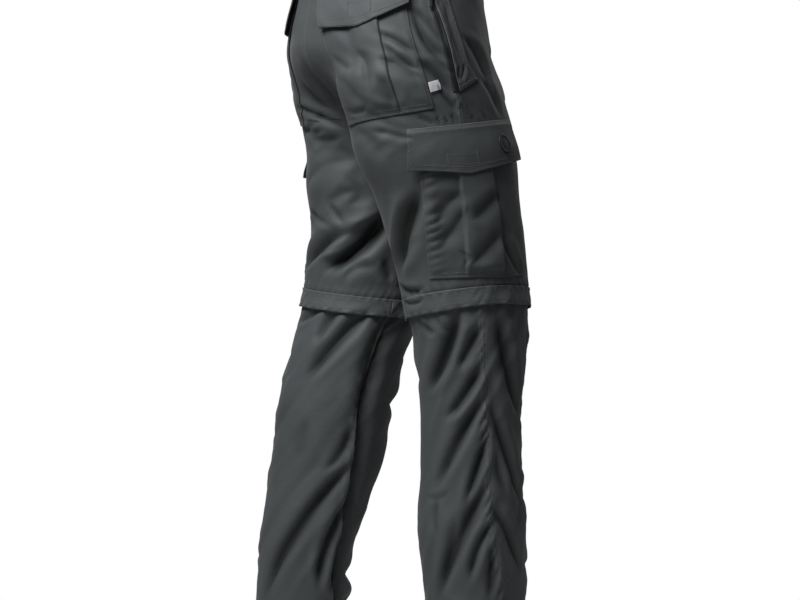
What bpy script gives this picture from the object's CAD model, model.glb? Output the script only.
# %% [markdown]
# Hiking trousers with zip-off legs, worn and mid stride, with nobody in them. On the real thing
# thin nylon panels are sewn along the outer side, the inner side and the middle, and pockets,
# flaps and zip covers are sewn on top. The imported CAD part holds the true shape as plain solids.
# This lesson lays finer cloth on that shape: creases, puckers, stitches, zips and finishes.

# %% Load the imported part
import math
from collections import namedtuple

import bpy
import numpy as np
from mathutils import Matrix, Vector


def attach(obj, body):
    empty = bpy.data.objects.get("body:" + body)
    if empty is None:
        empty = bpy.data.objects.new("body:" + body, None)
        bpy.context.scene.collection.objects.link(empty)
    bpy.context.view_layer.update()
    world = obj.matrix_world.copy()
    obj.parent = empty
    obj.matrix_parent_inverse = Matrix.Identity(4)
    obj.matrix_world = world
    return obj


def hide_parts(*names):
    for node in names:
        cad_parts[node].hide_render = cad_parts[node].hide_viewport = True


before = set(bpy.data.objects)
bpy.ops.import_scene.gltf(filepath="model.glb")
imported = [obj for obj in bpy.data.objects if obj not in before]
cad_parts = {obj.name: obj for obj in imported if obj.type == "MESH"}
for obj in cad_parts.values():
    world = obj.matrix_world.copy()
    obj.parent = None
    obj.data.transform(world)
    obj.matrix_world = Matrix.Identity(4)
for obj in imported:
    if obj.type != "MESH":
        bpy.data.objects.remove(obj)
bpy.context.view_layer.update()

MM = 0.001

# %% [markdown]
# The body of cloth. Worn trousers are a hip and two legs that melt together, so one smooth field
# says how far a point is from their skin: below zero inside, above zero outside. It could be
# sculpted, but a field made from short tables of widths gives the same form each time, and any
# piece can then be laid on it. A place on it is named by a leg, a turn round that leg (0 outward,
# 90 front, -90 back, 180 inner) and a height. These are the tables that the CAD part was made with.

# %% Tables of the form
Hip = namedtuple("Hip", "z half_width half_depth centre_y")
Leg = namedtuple("Leg", "z centre_x centre_y half_width half_depth")
Seam = namedtuple("Seam", "z turn")
HIPS = [
    Hip(0.02, 0.135, 0.115, 0.004),
    Hip(-0.04, 0.137, 0.122, 0.004),
    Hip(-0.09, 0.140, 0.127, 0.003),
    Hip(-0.13, 0.149, 0.133, 0.005),
    Hip(-0.17, 0.157, 0.135, 0.004),
    Hip(-0.21, 0.166, 0.133, -0.006),
    Hip(-0.25, 0.175, 0.133, -0.024),
    Hip(-0.30, 0.175, 0.133, -0.040),
]
SEAT_LEVEL, SEAT_BOTTOM = -0.15, -0.255
HIP_BLEND, LEG_BLEND = 0.030, 0.016

LEGS = {
    "right": [
        Leg(0.05, -0.080, 0.000, 0.050, 0.060),
        Leg(-0.10, -0.083, 0.004, 0.068, 0.086),
        Leg(-0.17, -0.085, 0.006, 0.080, 0.100),
        Leg(-0.21, -0.087, 0.003, 0.085, 0.121),
        Leg(-0.26, -0.0895, -0.010, 0.085, 0.122),
        Leg(-0.30, -0.0925, -0.017, 0.085, 0.121),
        Leg(-0.325, -0.093, -0.024, 0.085, 0.1185),
        Leg(-0.37, -0.0945, -0.037, 0.086, 0.106),
        Leg(-0.44, -0.097, -0.053, 0.085, 0.098),
        Leg(-0.51, -0.100, -0.063, 0.083, 0.089),
        Leg(-0.54, -0.102, -0.067, 0.081, 0.084),
        Leg(-0.58, -0.103, -0.069, 0.078, 0.078),
        Leg(-0.65, -0.107, -0.0665, 0.072, 0.070),
        Leg(-0.74, -0.111, -0.065, 0.072, 0.070),
        Leg(-0.82, -0.114, -0.065, 0.074, 0.074),
        Leg(-0.88, -0.117, -0.066, 0.072, 0.0735),
        Leg(-0.94, -0.119, -0.068, 0.068, 0.069),
        Leg(-1.00, -0.120, -0.068, 0.068, 0.070),
        Leg(-1.06, -0.121, -0.067, 0.068, 0.072),
    ],
    "left": [
        Leg(0.05, 0.080, 0.000, 0.050, 0.060),
        Leg(-0.10, 0.083, 0.000, 0.068, 0.070),
        Leg(-0.17, 0.085, -0.003, 0.078, 0.094),
        Leg(-0.21, 0.087, -0.009, 0.082, 0.107),
        Leg(-0.26, 0.0895, -0.024, 0.085, 0.109),
        Leg(-0.30, 0.0925, -0.028, 0.085, 0.104),
        Leg(-0.34, 0.0935, -0.026, 0.085, 0.103),
        Leg(-0.37, 0.0945, -0.029, 0.086, 0.101),
        Leg(-0.41, 0.096, -0.032, 0.086, 0.098),
        Leg(-0.46, 0.098, -0.021, 0.085, 0.094),
        Leg(-0.50, 0.100, -0.015, 0.083, 0.090),
        Leg(-0.54, 0.102, -0.005, 0.081, 0.087),
        Leg(-0.58, 0.103, 0.010, 0.081, 0.083),
        Leg(-0.65, 0.107, 0.028, 0.082, 0.084),
        Leg(-0.74, 0.111, 0.043, 0.080, 0.080),
        Leg(-0.82, 0.115, 0.062, 0.074, 0.072),
        Leg(-0.88, 0.118, 0.076, 0.069, 0.066),
        Leg(-0.94, 0.119, 0.079, 0.068, 0.066),
        Leg(-1.00, 0.120, 0.078, 0.068, 0.070),
        Leg(-1.06, 0.121, 0.074, 0.068, 0.072),
    ],
}
CLOTH = 1.0 * MM            # a wall that reads as doubled cloth at its edges
LAY = 0.9 * MM              # gap under a piece that lies on a panel
ZIP_LINE, HEM = -0.5085, -1.050
BAND_TOP, BAND_BOTTOM = -0.4925, -0.5185
SIGN = {"right": -1.0, "left": 1.0}
REACH, HALVINGS = 0.4, 34   # how far a ray looks for the skin, and how often that length is halved
print("tables:", len(HIPS), "hip rows and", {side: len(rows) for side, rows in LEGS.items()}, "leg rows")

# %% [markdown]
# Reading the form. A smooth curve runs through the rows of each table, so that no section shows
# as a ring. The two legs and the hip are ellipses that blend where they meet. A point of the skin
# is found by halving a ray from the leg's axis until it lies where the field is zero, for a whole
# array of points at once. The field's slope gives the direction that points out of the cloth.

# %% The field and the skin
def read(table, name, z):
    """A column of a table at height z, on a smooth curve through its rows."""
    x = np.array([-row.z for row in table])
    y = np.array([getattr(row, name) for row in table])
    m = np.empty_like(y)
    m[1:-1] = (y[2:] - y[:-2]) / (x[2:] - x[:-2])
    m[0], m[-1] = (y[1] - y[0]) / (x[1] - x[0]), (y[-1] - y[-2]) / (x[-1] - x[-2])
    t = np.clip(-np.asarray(z, float), x[0], x[-1])
    i = np.clip(np.searchsorted(x, t) - 1, 0, len(x) - 2)
    h = x[i + 1] - x[i]
    s = (t - x[i]) / h
    return ((1 + 2 * s) * (1 - s) ** 2 * y[i] + s * (1 - s) ** 2 * h * m[i]
            + s * s * (3 - 2 * s) * y[i + 1] + s * s * (s - 1) * h * m[i + 1])


def smooth_min(a, b, k):
    h = np.maximum(k - np.abs(a - b), 0) / k
    return np.minimum(a, b) - h * h * k / 4


def smooth_step(x):
    x = np.clip(x, 0, 1)
    return x * x * (3 - 2 * x)


def leg_field(side, x, y, z):
    rows = LEGS[side]
    rx, ry = read(rows, "half_width", z), read(rows, "half_depth", z)
    q = np.hypot((x - read(rows, "centre_x", z)) / rx, (y - read(rows, "centre_y", z)) / ry)
    return (q - 1) * np.minimum(rx, ry)


def hip_field(x, y, z):
    a, b = read(HIPS, "half_width", z), read(HIPS, "half_depth", z)
    t = np.clip((SEAT_LEVEL - z) / (SEAT_LEVEL - SEAT_BOTTOM), 0, None)
    shrink = np.where(t < 1, np.sqrt(np.maximum(1 - t * t, 0)), 1 - t)
    q = np.hypot(x / a, (y - read(HIPS, "centre_y", z)) / b)
    return (q - shrink) * b


def field(x, y, z):
    """Negative inside the cloth's form, positive outside."""
    legs = smooth_min(leg_field("right", x, y, z), leg_field("left", x, y, z), LEG_BLEND)
    return smooth_min(hip_field(x, y, z), legs, HIP_BLEND)


def outward(p, step=0.0006):
    """Unit normals of the form, from the slope of the field."""
    x, y, z = p[..., 0], p[..., 1], p[..., 2]
    n = np.stack([field(x + step, y, z) - field(x - step, y, z),
                  field(x, y + step, z) - field(x, y - step, z),
                  field(x, y, z + step) - field(x, y, z - step)], -1)
    return n / np.linalg.norm(n, axis=-1, keepdims=True)


def axis(side, z):
    return read(LEGS[side], "centre_x", z), read(LEGS[side], "centre_y", z)


def body(side, turn, z):
    """The form at a turn and a height: where a ray from the leg's axis leaves it, this side of x = 0."""
    turn, z = np.broadcast_arrays(np.radians(np.asarray(turn, float)), np.asarray(z, float))
    dx, dy = SIGN[side] * np.cos(turn), -np.sin(turn)
    ax, ay = axis(side, z)
    inner = dx * SIGN[side] < -1e-9
    high = np.where(inner, np.abs(ax) / np.where(inner, np.abs(dx), 1.0), REACH)
    low, high = np.zeros_like(high), np.minimum(high, REACH)
    for _ in range(HALVINGS):
        mid = (low + high) / 2
        inside = field(ax + dx * mid, ay + dy * mid, z) < 0
        low, high = np.where(inside, mid, low), np.where(inside, high, mid)
    return np.stack([ax + dx * low, ay + dy * low, z + 0 * low], -1)


# %% [markdown]
# Seams and levels. The outer seam twists down the leg and the inner one wanders behind the knee,
# so each is a short table too. The waist dips in front, and the zip line sags behind each knee.

# %% Seam tables and levels
OUTSEAM = {
    "right": [Seam(0.01, -31), Seam(-0.03, -25), Seam(-0.07, -18), Seam(-0.116, -11), Seam(-0.15, -3),
              Seam(-0.184, 3), Seam(-0.224, 5), Seam(-0.268, 2), Seam(-0.33, -4), Seam(-0.41, -9),
              Seam(-0.50, -14), Seam(-0.566, -17), Seam(-0.644, -14), Seam(-0.718, -11),
              Seam(-0.786, -10), Seam(-0.862, -5), Seam(-0.922, 6), Seam(-0.98, 11), Seam(-1.06, 14)],
    "left": [Seam(0.01, -27), Seam(-0.03, -21), Seam(-0.07, -14), Seam(-0.116, -7), Seam(-0.15, -1),
             Seam(-0.184, 3), Seam(-0.224, 4), Seam(-0.268, 2), Seam(-0.33, 0), Seam(-0.41, -2),
             Seam(-0.50, -4), Seam(-0.566, -4), Seam(-0.644, -3), Seam(-0.718, -1),
             Seam(-0.786, 0), Seam(-0.862, 2), Seam(-0.922, 5), Seam(-0.98, 8), Seam(-1.06, 9)],
}
INSEAM = {     # below the crotch, 180 is straight inward and more is toward the back
    "right": [Seam(-0.30, 180), Seam(-0.40, 180), Seam(-0.52, 180), Seam(-0.70, 181), Seam(-0.86, 178),
              Seam(-1.06, 176)],
    "left": [Seam(-0.30, 180), Seam(-0.40, 180), Seam(-0.52, 180), Seam(-0.58, 181), Seam(-0.646, 185),
             Seam(-0.71, 183), Seam(-0.79, 178), Seam(-0.85, 170), Seam(-0.92, 168), Seam(-1.06, 166)],
}
# The mean sag, its swing, and the turn where the zip line is highest.
SAG = {"right": (-0.011, 0.013, 15), "left": (-0.009, 0.010, -30)}
MIDDLE = np.linspace(-0.2, 0.2, 1601)


def crotch_level():
    low, high = -0.40, -0.15
    for _ in range(30):
        mid = (low + high) / 2
        low, high = (low, mid) if field(0 * MIDDLE, MIDDLE, mid + 0 * MIDDLE).min() < 0 else (mid, high)
    return (low + high) / 2


CROTCH = crotch_level()
CROTCH_Y = float(MIDDLE[np.argmin(field(0 * MIDDLE, MIDDLE, CROTCH + 0 * MIDDLE))])


def middle_y(z, front, x=0.0):
    """Where the form crosses the middle, in front or behind, above the crotch."""
    z = np.maximum(np.asarray(z, float), CROTCH)
    inside, outside = np.full_like(z, CROTCH_Y), np.full_like(z, -0.2 if front else 0.2)
    for _ in range(HALVINGS):
        mid = (inside + outside) / 2
        hit = field(x + 0 * z, mid, z) < 0
        inside, outside = np.where(hit, mid, inside), np.where(hit, outside, mid)
    return inside


def turn_of(side, x, y, z):
    ax, ay = axis(side, z)
    return np.degrees(np.arctan2(-(y - ay), SIGN[side] * (x - ax)))


def droop(side, turn, z):
    """How far a level moves: the waist dips in front, the zip line sags behind the knee."""
    t, z = np.radians(turn), np.asarray(z, float)
    waist = (0.006 * (1 - np.cos(t - math.pi / 2)) - 0.012) * smooth_step((z + 0.13) / 0.10)
    mean, swing, highest = SAG[side]
    near = smooth_step((z + 0.66) / 0.10) * smooth_step((-0.36 - z) / 0.12)
    return waist + (mean + swing * np.cos(t - math.radians(highest))) * near


def seam_turn(table, side, z):
    return read(table[side], "turn", z)


print("the legs part", round(-CROTCH, 3), "m below the waist")

# %% [markdown]
# Creases. Walking pulls the cloth from the seat, the knee and the side seam, so it breaks into
# slanting troughs, deep behind the knee and fine where a seam is tight. A cloth simulation gives
# other folds each time its numbers change, so the main ones are placed by hand instead: each row
# names three places that a trough runs through, its depth and its width. A depth above zero is
# a ridge. Nothing in the photo shows the far sides, so similar uneven ones are put there.

# %% Table of creases
Fold = namedtuple("Fold", "turn_a z_a turn_b z_b turn_c z_c depth width")
RIGHT = [           # turns in degrees, the rest in millimetres; the hidden front and inner side come last
    (-85, -540, -76, -552, -66, -557, -3, 4.5),
    (-62, -535, -59, -547, -49, -552, -2, 4.5),
    (-40, -528, -54, -575, -87, -635, -6.5, 8.1),
    (-20, -547, -34, -577, -44, -606, -4.5, 6.3),
    (-20, -602, -36, -640, -60, -674, -4.5, 6.3),
    (-17, -643, -42, -698, -75, -768, -5, 7.2),
    (-13, -701, -24, -742, -38, -789, -5, 5.4),
    (-13, -756, -36, -816, -79, -920, -5, 8.1),
    (-10, -816, -26, -851, -36, -892, -4.5, 5.4),
    (-91, -781, -73, -784, -57, -775, -1.5, 3.6),
    (-73, -787, -75, -808, -73, -836, -2, 5.4),
    (-49, -808, -57, -849, -70, -896, -2.5, 6.3),
    (-2, -533, 8, -588, 38, -668, -5, 9),
    (-7, -660, 11, -716, 35, -788, -4.5, 7.2),
    (-9, -796, 10, -831, 31, -884, -4, 6.3),
    (-12, -848, -11, -881, -15, -920, -3.5, 6.3),
    (-2, -720, 2, -748, 9, -776, -2.5, 5.4),
    (-54, -368, -74, -414, -97, -468, -7.2, 7.8),
    (-72, -372, -86, -412, -106, -462, 2.6, 4.5),
    (-64, -426, -75, -443, -87, -461, -1.5, 5.4),
    (-109, -488, -88, -500, -70, -496, -4, 4.5),
    (-102, -512, -87, -516, -72, -511, -2, 3.6),
    (-18, -364, -34, -383, -45, -407, -2.5, 7.2),
    (-16, -385, -30, -410, -46, -437, -2.5, 7.2),
    (20, -363, 4, -382, -14, -402, -2, 6.3),
    (12, -417, -2, -437, -22, -462, -2, 6.3),
    (13, -423, 22, -451, 32, -476, -2.5, 5.4),
    (-30, -443, -25, -451, -28, -464, -1.5, 3.6),
    (-62, -148, -46, -162, -34, -176, -3.5, 4.5),
    (-57, -166, -44, -185, -30, -199, -3.2, 4.5),
    (-60, -185, -46, -193, -30, -212, -2.4, 5.4),
    (-36, -118, -22, -152, -2, -184, -3.5, 5.4),
    (-30, -139, -16, -174, 2, -203, -3.2, 4.5),
    (-30, -185, -14, -206, -1, -232, -3.2, 5.4),
    (-16, -220, -9, -238, -2, -254, -3.2, 4.5),
    (-34, -114, -16, -136, -2, -165, -2.9, 5.4),
    (-101, -175, -94, -187, -83, -196, -1.3, 4.5),
    (-78, -170, -70, -198, -68, -223, -2.4, 6.3),
    (-96, -206, -84, -218, -77, -238, -1.3, 5.4),
    (-62, -207, -57, -226, -56, -248, -2.1, 5.4),
    (-93, -248, -84, -254, -72, -244, -1.5, 3.6),
    (-74, -280, -62, -285, -48, -292, -2.5, 4.5),
    (-90, -278, -78, -292, -72, -317, -1.5, 7.2),
    (-66, -269, -56, -277, -48, -280, -1.5, 4.5),
    (-40, -260, -34, -266, -26, -272, -1.8, 3.6),
    (-25, -260, -23, -266, -23, -272, -1.6, 2),
    (-18, -259, -16, -264, -15, -271, -1.6, 2),
    (-10, -257, -8, -263, -7, -268, -1.6, 2),
    (12, -257, 14, -261, 14, -266, -1.4, 2),
    (26, -252, 28, -258, 30, -264, -1.4, 2),
    (19, -149, 39, -180, 46, -220, -2.5, 6.3),
    (34, -203, 45, -226, 49, -253, -2, 5.4),
    (11, -191, 8, -202, 6, -213, -1.6, 3.6),
    (16, -188, 14, -199, 10, -210, -1.6, 2.7),
    (0, -107, 6, -145, 17, -183, -1.5, 6.3),
    (62, -540, 84, -575, 112, -598, -4.5, 7.5),
    (48, -556, 66, -606, 92, -650, -5, 8),
    (44, -650, 64, -690, 96, -722, -4, 7),
    (40, -742, 62, -790, 88, -836, -4, 7.5),
    (120, -560, 150, -612, 176, -690, -4.5, 8.5),
    (190, -540, 215, -590, 246, -628, -4.5, 8),
    (176, -720, 205, -780, 232, -860, -4.5, 8.5),
    (118, -760, 146, -826, 160, -890, -4, 8),
    (52, -872, 90, -900, 128, -892, -4.5, 8),
    (60, -936, 104, -958, 150, -944, -5, 9),
    (170, -905, 205, -950, 250, -962, -4, 8),
    (-70, -930, -40, -962, -2, -975, -4, 7.5),
    (20, -985, 60, -1002, 96, -996, -3, 7),
    (66, -160, 84, -190, 96, -232, -3, 7),
    (72, -236, 100, -262, 132, -276, -4.5, 8),
    (78, -282, 106, -296, 138, -292, -4, 8),
    (84, -322, 116, -342, 150, -372, -4, 8.5),
    (70, -392, 96, -420, 124, -430, -4.5, 8),
    (74, -452, 104, -462, 140, -448, -5, 8),
    (150, -320, 185, -352, 222, -372, -4, 8),
    (160, -400, 196, -430, 238, -452, -4.5, 8),
    (150, -470, 180, -476, 214, -466, -3.5, 6),
]
LEFT = [            # its inner side and back show in the photo, its outer side and front don't
    (-126, -528, -119, -548, -113, -572, -4, 6.3),
    (-156, -528, -140, -560, -113, -623, -5, 8.1),
    (-71, -544, -92, -534, -110, -527, -2.5, 4.5),
    (184, -532, 184, -604, -176, -680, -4, 9),
    (-178, -744, -144, -817, -99, -929, -6, 9),
    (-172, -692, -164, -732, -152, -752, -3, 7.2),
    (176, -796, -176, -860, 188, -916, -5.5, 7.2),
    (-190, -848, -192, -892, 172, -932, -3, 5.4),
    (-123, -682, -120, -716, -118, -739, -1.2, 9),
    (-108, -374, -115, -391, -120, -404, -3, 4.5),
    (-71, -380, -94, -396, -106, -405, -2.5, 4.5),
    (-164, -388, -140, -428, -111, -467, -11, 9.9),
    (-132, -412, -112, -423, -69, -464, -5.5, 7.2),
    (-142, -408, -133, -428, -100, -451, 3, 4.5),
    (-156, -383, -140, -395, -126, -401, 1.5, 4.5),
    (196, -452, -168, -464, 186, -484, -3, 5.4),
    (-128, -480, -136, -468, -154, -463, -2.5, 6.3),
    (-132, -340, -136, -358, -127, -377, -1.5, 7.2),
    (-104, -374, -121, -360, -134, -355, -1.5, 5.4),
    (-78, -233, -104, -249, -124, -267, -3, 4.5),
    (-79, -268, -101, -255, -109, -244, -2, 3.6),
    (-78, -268, -94, -271, -105, -269, -3, 4.5),
    (-88, -277, -103, -283, -120, -280, -2.5, 5.4),
    (-94, -302, -116, -296, -133, -312, -2, 8.1),
    (-80, -344, -102, -320, -128, -312, -1.8, 8.1),
    (-98, -207, -104, -224, -116, -240, -2, 6.3),
    (-121, -171, -123, -198, -120, -244, -2, 7.2),
    (-36, -530, -52, -574, -80, -622, -5.5, 8),
    (-14, -545, -28, -590, -40, -624, -4.5, 6.5),
    (-12, -612, -34, -664, -62, -704, -4.5, 7),
    (-10, -690, -34, -744, -60, -800, -4.5, 7.5),
    (-8, -770, -26, -822, -58, -884, -4.5, 7),
    (6, -540, 20, -590, 46, -640, -4.5, 7.5),
    (8, -640, 24, -700, 52, -742, -4, 7),
    (8, -730, 30, -790, 50, -850, -4, 7.5),
    (60, -548, 88, -578, 120, -590, -4.5, 8),
    (66, -620, 100, -652, 140, -664, -4, 8),
    (96, -700, 116, -770, 124, -850, -3.5, 8.5),
    (70, -860, 104, -900, 140, -905, -4.5, 8),
    (56, -930, 96, -952, 150, -935, -5, 8.5),
    (-60, -935, -20, -968, 24, -975, -4.5, 8),
    (-20, -366, -36, -390, -46, -420, -2.5, 7),
    (18, -372, 2, -394, -14, -424, -2.5, 6.5),
    (24, -420, 12, -446, -6, -468, -2, 6),
    (-34, -440, -24, -456, -20, -474, -2, 5.5),
    (-34, -120, -18, -150, 2, -186, -2.2, 5.5),
    (-28, -150, -12, -182, 4, -212, -2, 5),
    (20, -150, 38, -184, 48, -226, -2.5, 6.3),
    (36, -205, 50, -232, 56, -256, -2, 5.5),
    (70, -170, 86, -200, 96, -240, -3, 7),
    (74, -244, 102, -268, 134, -274, -4.5, 8),
    (80, -292, 108, -302, 140, -294, -4, 8),
    (84, -336, 118, -352, 150, -386, -4, 8.5),
    (72, -410, 98, -436, 128, -444, -4.5, 8),
    (-60, -140, -44, -160, -32, -178, -2, 5),
    (-62, -176, -46, -190, -30, -206, -2, 5),
    (-66, -272, -52, -284, -40, -292, -2.2, 5),
]
FOLDS = {side: [Fold(*(cell if i in (0, 2, 4) else cell / 1000 for i, cell in enumerate(row)))
                for row in rows] for side, rows in (("right", RIGHT), ("left", LEFT))}
print(len(RIGHT + LEFT), "creases, the deepest", min(row[6] for row in RIGHT + LEFT), "mm")

# %% [markdown]
# From a row to a trough. Across its line a trough is a bell curve with a sharp bottom, as thin
# cloth breaks, and a low shoulder on each side where the cloth is pushed up. It narrows and fades
# toward both ends, and the middle place bends the line into an arc. Adding all rows gives one
# height for every point of the cloth.

# %% Height of the creases
ARC = 0.0016        # metres of cloth for each degree of turn
BROAD = 0.0048      # metres: a wider crease than this is drawn wider and deeper than its row says


def unturned(a, b):
    """The turn from b to a, the short way round."""
    return (np.asarray(a, float) - b + 180) % 360 - 180


def folds(side, turn, z):
    """Sum over the rows of depth x fade(along) x (bell(across) - shoulders)."""
    turn, z = np.broadcast_arrays(np.asarray(turn, float), np.asarray(z, float))
    total = np.zeros(turn.shape)
    for f in FOLDS[side]:
        ex, ez = float(unturned(f.turn_c, f.turn_a)) * ARC / 2, (f.z_c - f.z_a) / 2
        half = math.hypot(ex, ez)
        bx, bz = float(unturned(f.turn_b, f.turn_a)) * ARC - ex, f.z_b - f.z_a - ez
        middle = f.turn_a + ex / ARC
        x, y = unturned(turn, middle) * ARC, z - (f.z_a + f.z_c) / 2
        along = (x * ex + y * ez) / half
        near = np.abs(along) < 1.25 * half
        across = (y * ex - x * ez) / half
        bow = (bz * ex - bx * ez) / half / max(0.3, 1 - ((bx * ex + bz * ez) / half / half) ** 2)
        t = along / half
        wide = f.width * (1.45 if f.width > BROAD else 1.15)
        w = (across - bow * (1 - t * t)) / (wide * (1 - 0.35 * np.clip(t * t, 0, 1)))
        fade = smooth_step((1.22 - np.abs(t)) / 0.75) * near
        bell = 0.55 * np.exp(-w * w) + 0.55 * np.exp(-1.9 * np.sqrt(w * w + 0.03))
        bell = bell - 0.30 * np.exp(-(w - 1.9) ** 2 * 0.8) - 0.20 * np.exp(-(w + 1.9) ** 2 * 0.8)
        total += f.depth * (2.0 if f.width > BROAD else 1.5) * fade * bell
    return total


# %% [markdown]
# Puckers and unevenness. A seam's thread is shorter than its cloth, so the cloth beside it gathers
# into small slanting waves, and above a zip cover the same happens in upright ones. They are sine
# waves whose spacing is shaken by smooth seeded noise, fading within a few millimetres of the
# seam. A third kind of noise, slow and under a millimetre, keeps the open cloth from looking cast.

# %% Noise, puckers and relief
def smooth_noise(p, size, seed):
    """Values at the corners of cubes of this size, eased between them: about -1 to 1."""
    q = np.asarray(p, float) / size
    cell = np.floor(q).astype(np.int64)
    t = q - cell
    t = t * t * (3 - 2 * t)
    total = np.zeros(q.shape[:-1])
    for corner in range(8):
        step = np.array([corner & 1, corner >> 1 & 1, corner >> 2 & 1])
        key = (cell + step) @ np.array([73856093, 19349663, 83492791]) + seed * 2654435761
        key = (key ^ (key >> 13)) * 1274126177
        value = ((key ^ (key >> 16)) & 0xFFFF) / 32767.5 - 1
        weight = np.where(step, t, 1 - t).prod(-1)
        total += weight * value
    return total


def wave(x, pitch, seed):
    """A sine of about this pitch whose phase and height wander with x."""
    x = np.asarray(x, float)
    line = np.stack([x, 0 * x, 0 * x], -1)
    phase = 2 * math.pi * x / pitch + 2.6 * smooth_noise(line, pitch * 2.7, seed)
    return np.sin(phase) * (0.65 + 0.5 * smooth_noise(line, pitch * 3.3, seed + 9))


Area = namedtuple("Area", "back_turn top front_turn bottom")
COVERED = [Area(-60, -0.250, 66, -0.490), Area(-24, -0.055, 34, -0.224)]     # cargo pocket, hand pocket


def covered(side, turn, z):
    """1 under the pockets that lie over the outer seam, easing to 0 over 6 mm around them."""
    total = np.zeros(np.shape(turn))
    for area in COVERED:
        inside = np.minimum.reduce([unturned(turn, area.back_turn) * ARC,
                                    -unturned(turn, area.front_turn) * ARC, area.top - z, z - area.bottom])
        total = np.maximum(total, smooth_step((inside + 0.006) / 0.006))
    return total


def seamless(turn):
    """0 where the turn jumps from 180 to -180, so that both ends of a wave meet there, and 1 elsewhere."""
    return smooth_step((180 - np.abs(unturned(turn, 0.0))) * ARC / 0.012)


def pulled(side, turn, z):
    """Fine pulled lines: ridges of stretched noise that slant with the pull of the seat and the knee."""
    turn, z = np.broadcast_arrays(np.asarray(turn, float), np.asarray(z, float))
    around = unturned(turn, 0.0) * ARC
    low = smooth_step((-0.22 - z) / 0.10)
    slope = (-0.85 + 1.5 * low) if side == "right" else (0.9 - 1.7 * low)
    across = (around - slope * (z + 0.27)) / np.sqrt(1 + slope * slope)
    level = z * np.sqrt(1 + slope * slope) + 0.3 * around
    seed = 61 if side == "right" else 67
    wide = smooth_noise(np.stack([across / 0.026, level / 0.120, 0 * z], -1), 1.0, seed)
    fine = smooth_noise(np.stack([across / 0.0115, level / 0.060, 0 * z], -1), 1.0, seed + 1)
    strong = 0.65 + 0.6 * smooth_noise(np.stack([around / 0.09, z / 0.12, 0 * z], -1), 1.0, seed + 2)
    ridge = 0.45 - np.sqrt(wide * wide + 0.006)
    back = seamless(turn) * (1 - 0.65 * covered(side, turn, z))
    return back * strong * (0.0030 * ridge + 0.0006 * fine)


COVER_DEPTH = 0.027     # metres from the zip cover's upper edge to its lower one


def puckers(side, turn, z):
    """Waves beside the outer and inner seams, over and under the zip cover, and at the hem."""
    turn, z = np.broadcast_arrays(np.asarray(turn, float), np.asarray(z, float))
    d = unturned(turn, seam_turn(OUTSEAM, side, z)) * ARC
    slant = z + 1.15 * np.abs(d)
    low = smooth_step((ZIP_LINE - 0.01 - z) / 0.05)
    reach = np.abs(d)
    beside = np.exp(-((reach - 0.008) / 0.009) ** 2)
    free = 1 - covered(side, turn, z)
    height = 0.0014 * low * beside * wave(slant + 0.004 * np.sign(d), 0.017, 3 if side == "right" else 5)
    height = height * np.where(d < 0, 1.35, 0.35)
    height = height + 0.0006 * (1 - low) * free * beside * wave(slant, 0.017, 11)
    d = np.abs(unturned(turn, seam_turn(INSEAM, side, z))) * ARC
    below = smooth_step((CROTCH - 0.02 - z) / 0.03)
    height = height + 0.0006 * below * np.exp(-((d - 0.006) / 0.008) ** 2) * wave(z - 0.8 * d, 0.021, 7)
    if side == "left":       # its lower inner seam is pulled in, so the cloth in front of it falls away
        ahead = -unturned(turn, seam_turn(INSEAM, side, z)) * ARC
        falls = smooth_step((ahead + 0.001) / 0.005) * smooth_step((0.034 - ahead) / 0.027)
        height = height + low * (0.0012 * np.exp(-((ahead + 0.006) / 0.006) ** 2) - 0.0062 * falls)
    top = BAND_TOP + droop(side, turn, BAND_TOP)
    up = z - top
    around = unturned(turn, 0.0) * ARC
    inner = seamless(turn)
    height = height + 0.0013 * smooth_step(up / 0.004) * np.exp(-np.clip(up, 0, 1) / 0.011)
    uneven = 0.8 + 0.7 * smooth_noise(np.stack([around, 0 * z, 0 * z], -1), 0.045, 23)
    above = np.exp(-np.clip(up, 0, 1) / 0.010) * smooth_step((up + 0.006) / 0.006)
    height = height + inner * uneven * 0.0028 * above * wave(around + 0.45 * up, 0.0135, 21)
    down = top - COVER_DEPTH - z
    under = np.exp(-np.clip(down, 0, 1) / 0.016) * (down > -0.004)
    height = height + inner * 0.0009 * under * wave(around - 0.3 * down, 0.019, 31)
    hem = z - HEM
    stitched = np.exp(-((hem - 0.011) / 0.009) ** 2)
    return height + inner * 0.0007 * stitched * wave(around + 0.9 * hem, 0.016, 41)


CALM_PLACES = [("right", -19.0, -0.090), ("left", -17.0, -0.090)]     # the hard sliders sit here


def relief(side, turn, z, p):
    """Creases + puckers + slow noise, held flat under the pocket sliders and at the middle seam."""
    calm = smooth_step((np.abs(p[..., 0]) - 0.002) / 0.020)
    for where, at_turn, at_z in CALM_PLACES:
        if where == side:
            near = np.hypot(unturned(turn, at_turn) * ARC / 0.016, (z - at_z) / 0.034)
            calm = calm * smooth_step((near - 0.75) / 0.45)
    slow = 0.0004 * smooth_noise(p, 0.034, 1) + 0.0002 * smooth_noise(p, 0.013, 2)
    return calm * (folds(side, turn, z) + puckers(side, turn, z) + pulled(side, turn, z) + slow)


def cloth(side, turn, z, lift=0.0):
    """A point of the skin, moved outward by the relief and by the layer's own lift."""
    p = body(side, turn, z)
    return p + outward(p) * (relief(side, turn, z, p) + lift)[..., None]


probe = cloth("right", np.linspace(-90, 0, 40)[None], np.linspace(-0.95, -0.6, 50)[:, None])
print("a patch of creased cloth reaches from", probe.min((0, 1)).round(3), "to", probe.max((0, 1)).round(3))

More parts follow.
